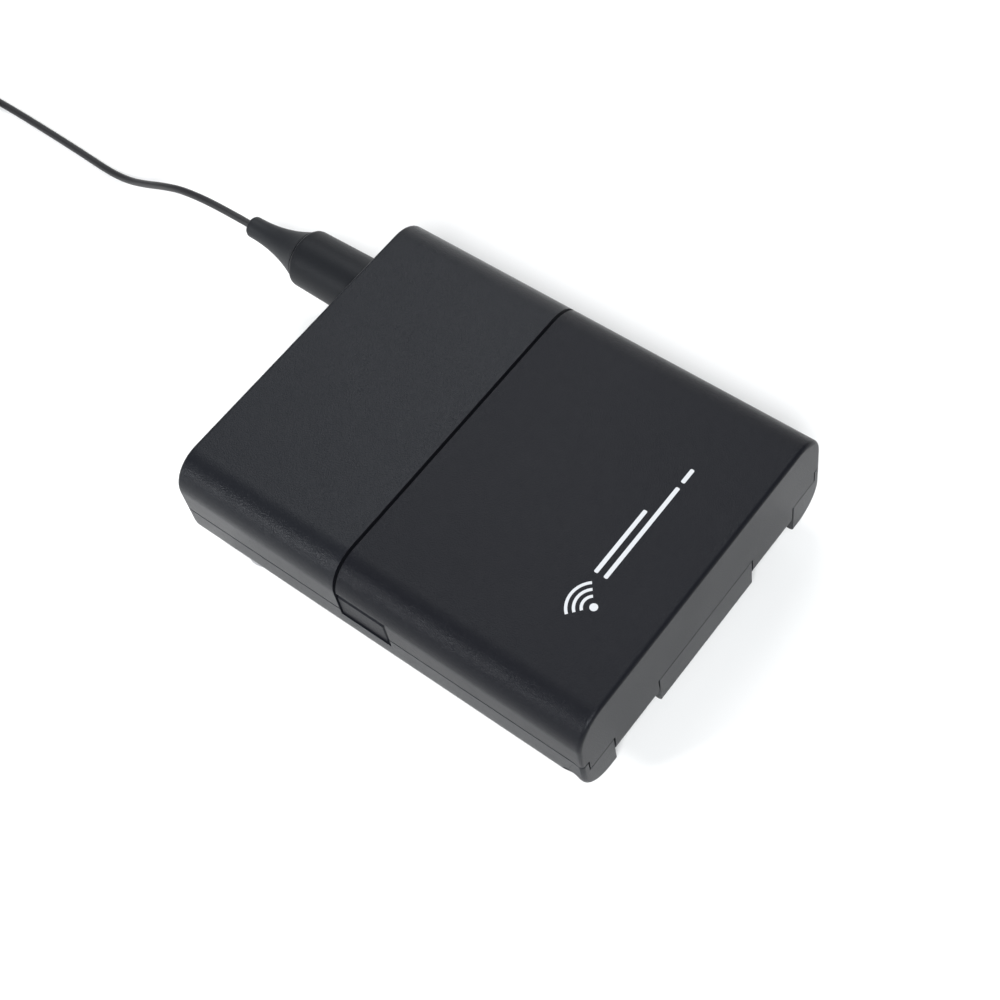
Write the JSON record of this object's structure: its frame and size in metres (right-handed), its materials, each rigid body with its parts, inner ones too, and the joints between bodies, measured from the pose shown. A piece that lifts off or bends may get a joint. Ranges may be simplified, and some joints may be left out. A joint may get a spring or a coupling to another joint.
{
  "type": "wireless bodypack transmitter",
  "caption": "Flat black bodypack transmitter with hinged battery cover, side latches, wire belt clip and a screw-locked plug on a thin lead to a clip-on lavalier microphone.",
  "frame": {"origin": "on the surface the pack lies on, under the middle of the case measured without the lead and plug", "axes": "+X across the case's width, +Y towards the connector end, +Z out of the front face"},
  "size_m": [0.0716, 0.2424, 0.027],
  "materials": {
    "shell_black": "fine spark-eroded grain, satin black",
    "cover_black": "fine spark-eroded grain, satin black",
    "panel_black": "fine matt grain",
    "button_black": "smooth matt",
    "inner_black": "moulded matt",
    "cell_jacket": "printed shrink sleeve, glossy",
    "nickel": "nickel-plated, satin",
    "gold_plate": "gold-plated, smooth",
    "steel": "bright, drawn",
    "black_steel": "black oxide",
    "board_green": "solder mask, semi-gloss",
    "part_black": "moulded, matt",
    "can_metal": "tinned sheet",
    "clear": "clear, polished",
    "label_grey": "printed foil, matt",
    "foam": "open-cell foam",
    "plug_black": "matt black anodised look",
    "boot_rubber": "matt rubber",
    "cord_black": "thin PVC sheath, satin",
    "mesh_grey": "fine black mesh"
  },
  "bodies": {
    "case": {"rear_shell": "shell_black", "front_shell": "shell_black", "end_panel": "panel_black", "battery_tray": "inner_black", "control_deck": "inner_black", "aa_cell_1": "cell_jacket", "aa_cell_2": "cell_jacket", "cell_springs": "nickel", "contact_link": "nickel", "contact_pair": "nickel", "hinge_pins": "steel", "main_board": "board_green", "shield_can": "can_metal", "board_parts": "part_black", "antenna": "gold_plate", "supply_leaves": "gold_plate", "jack_bush": "nickel", "jack_nut": "black_steel", "jack_body": "inner_black", "jack_contacts": "gold_plate", "mute_switch": "can_metal", "power_switch": "can_metal", "pair_switch": "can_metal", "status_led": "part_black", "light_pipe": "clear", "charge_contacts": "gold_plate", "case_screws": "black_steel", "board_screws": "steel", "rating_plate": "label_grey", "plug_tip": "nickel", "plug_ring": "nickel", "plug_sleeve": "nickel", "plug_insulators": "inner_black", "plug_body": "nickel", "plug_boot": "boot_rubber", "mic_cord": "cord_black", "mic_cord_coil": "cord_black", "mic_cord_tail": "cord_black", "coil_tie": "cord_black", "mic_strain_relief": "boot_rubber", "mic_housing": "plug_black", "mic_grille": "mesh_grey", "mic_capsule": "nickel", "tie_clip_base": "plug_black", "tie_clip_pin": "steel", "tie_clip_spring": "steel"},
    "cover": {"battery_cover": "cover_black", "cover_pad": "foam", "latch_springs": "steel"},
    "latch_left": {"latch_left": "cover_black"},
    "latch_right": {"latch_right": "cover_black"},
    "mute_slider": {"mute_slider": "button_black"},
    "power_button": {"power_button": "button_black"},
    "pair_button": {"pair_button": "button_black"},
    "belt_clip": {"belt_clip": "steel"},
    "lock_ring": {"lock_ring": "plug_black"},
    "tie_clip_jaw": {"tie_clip_jaw": "plug_black"}
  },
  "joints": [
    {"name": "cover_hinge", "type": "hinge", "parent": "case", "child": "cover", "pos_m": [0, -0.0443, 0.0085], "axis": [1, 0, 0], "range_deg": [0, 88]},
    {"name": "latch_left_press", "type": "slide", "parent": "cover", "child": "latch_left", "axis": [1, 0, 0], "range_m": [0, 0.0012], "stiffness_N_per_m": 600, "springref_m": -0.0005},
    {"name": "latch_right_press", "type": "slide", "parent": "cover", "child": "latch_right", "axis": [-1, 0, 0], "range_m": [0, 0.0012], "stiffness_N_per_m": 600, "springref_m": -0.0005},
    {"name": "mute_slide", "type": "slide", "parent": "case", "child": "mute_slider", "axis": [1, 0, 0], "range_m": [0, 0.003]},
    {"name": "power_press", "type": "slide", "parent": "case", "child": "power_button", "axis": [0, -1, 0], "range_m": [0, 0.0004], "stiffness_N_per_m": 900, "springref_m": -0.0003},
    {"name": "pair_press", "type": "slide", "parent": "case", "child": "pair_button", "axis": [0, 0, -1], "range_m": [0, 0.0005], "stiffness_N_per_m": 900, "springref_m": -0.0003},
    {"name": "clip_hinge", "type": "hinge", "parent": "case", "child": "belt_clip", "pos_m": [0, 0.0345, 0.0022], "axis": [1, 0, 0], "range_deg": [0, 15], "stiffness_Nm_per_rad": 0.6, "springref_deg": -4.58},
    {"name": "lock_ring_spin", "type": "hinge", "parent": "case", "child": "lock_ring", "pos_m": [0.0212, 0.055, 0.0154], "axis": [0, 1, 0], "continuous": true},
    {"name": "tie_clip_squeeze", "type": "hinge", "parent": "case", "child": "tie_clip_jaw", "pos_m": [-0.024, 0.1515, 0.003], "axis": [0, 0, -1], "range_deg": [0, 12], "stiffness_Nm_per_rad": 0.02, "springref_deg": -17.19}
  ]
}
